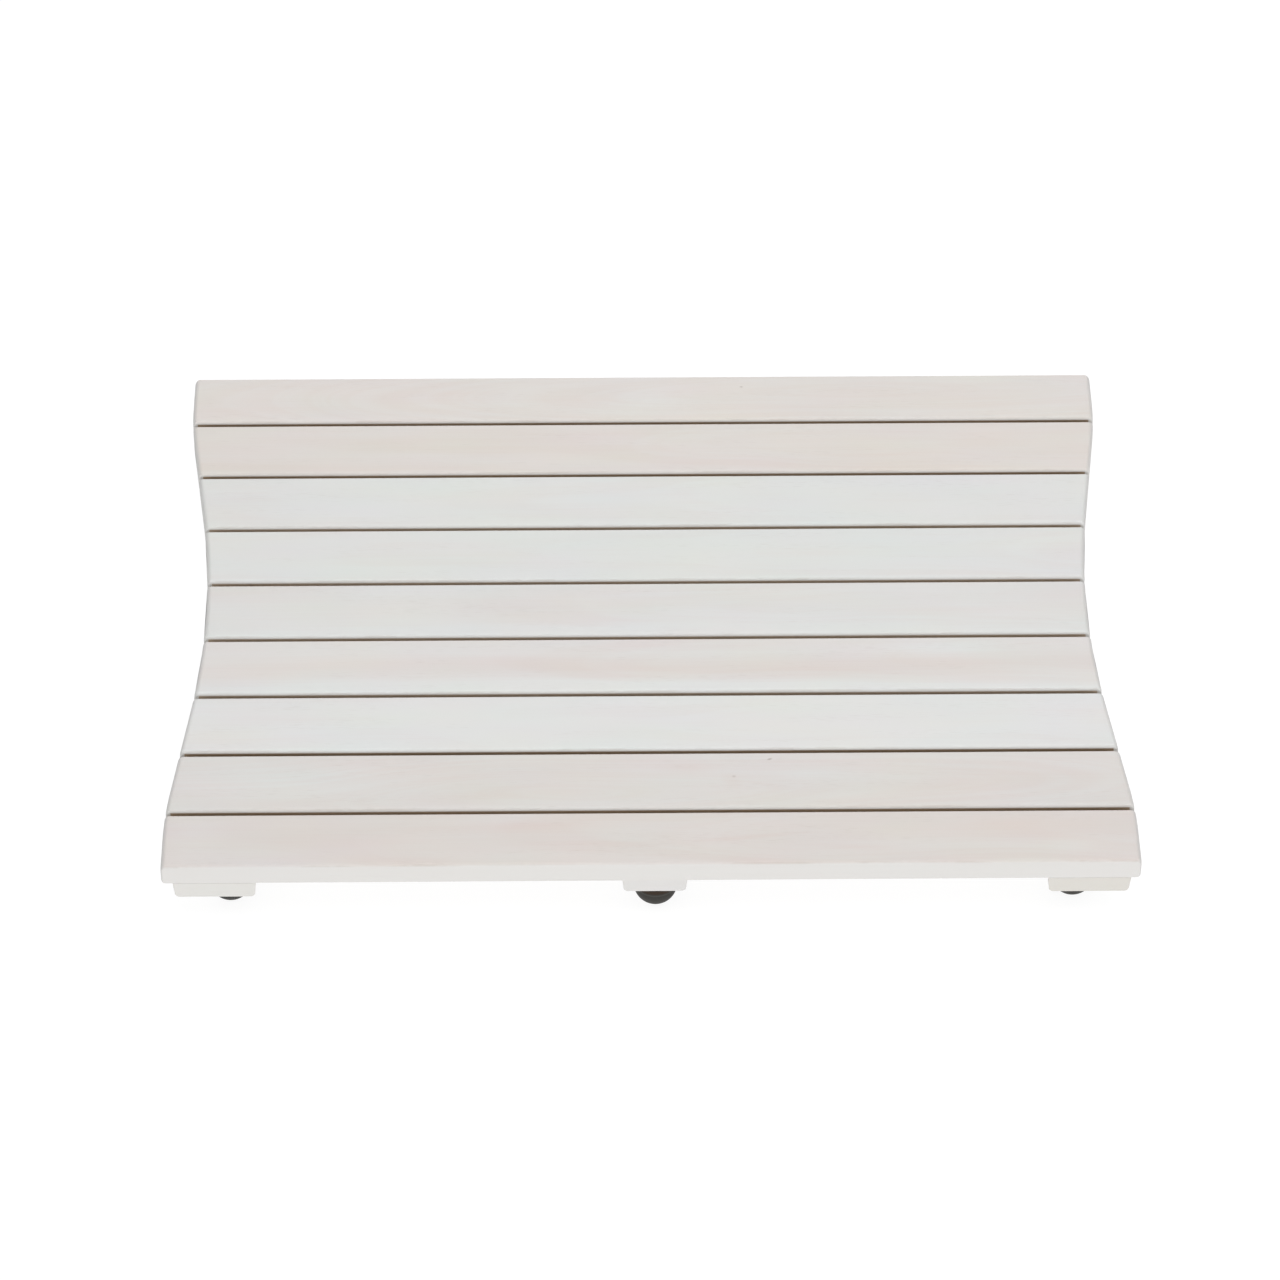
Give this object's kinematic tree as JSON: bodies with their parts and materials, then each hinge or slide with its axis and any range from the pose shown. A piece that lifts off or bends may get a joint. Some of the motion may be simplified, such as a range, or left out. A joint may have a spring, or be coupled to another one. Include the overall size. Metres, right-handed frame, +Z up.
{
  "type": "slatted bath mat",
  "caption": "Rigid slatted wooden bath mat with inward-curved short ends, on wooden runners and domed rubber feet.",
  "frame": {"origin": "floor level under the middle of the mat, half way along the slats and half way from front to rear", "axes": "+X along the slats to the right, +Y from the front slat to the rear slat, +Z up to the standing face"},
  "size_m": [0.61, 0.457, 0.046],
  "materials": {
    "slat_wood": "whitewashed teak, satin",
    "runner_wood": "whitewashed teak, satin",
    "foot_rubber": "moulded dark grey rubber, matte",
    "washer_steel": "stainless, satin",
    "screw_steel": "stainless, satin"
  },
  "bodies": {
    "root": {"slat_1": "slat_wood", "slat_2": "slat_wood", "slat_3": "slat_wood", "slat_4": "slat_wood", "slat_5": "slat_wood", "slat_6": "slat_wood", "slat_7": "slat_wood", "slat_8": "slat_wood", "slat_9": "slat_wood", "runner_left": "runner_wood", "runner_centre": "runner_wood", "runner_right": "runner_wood", "foot_front_left": "foot_rubber", "foot_front_centre": "foot_rubber", "foot_front_right": "foot_rubber", "foot_middle_left": "foot_rubber", "foot_middle_centre": "foot_rubber", "foot_middle_right": "foot_rubber", "foot_rear_left": "foot_rubber", "foot_rear_centre": "foot_rubber", "foot_rear_right": "foot_rubber", "foot_washers": "washer_steel", "foot_screws": "screw_steel", "slat_screws_left": "screw_steel", "slat_screws_centre": "screw_steel", "slat_screws_right": "screw_steel"}
  },
  "joints": []
}
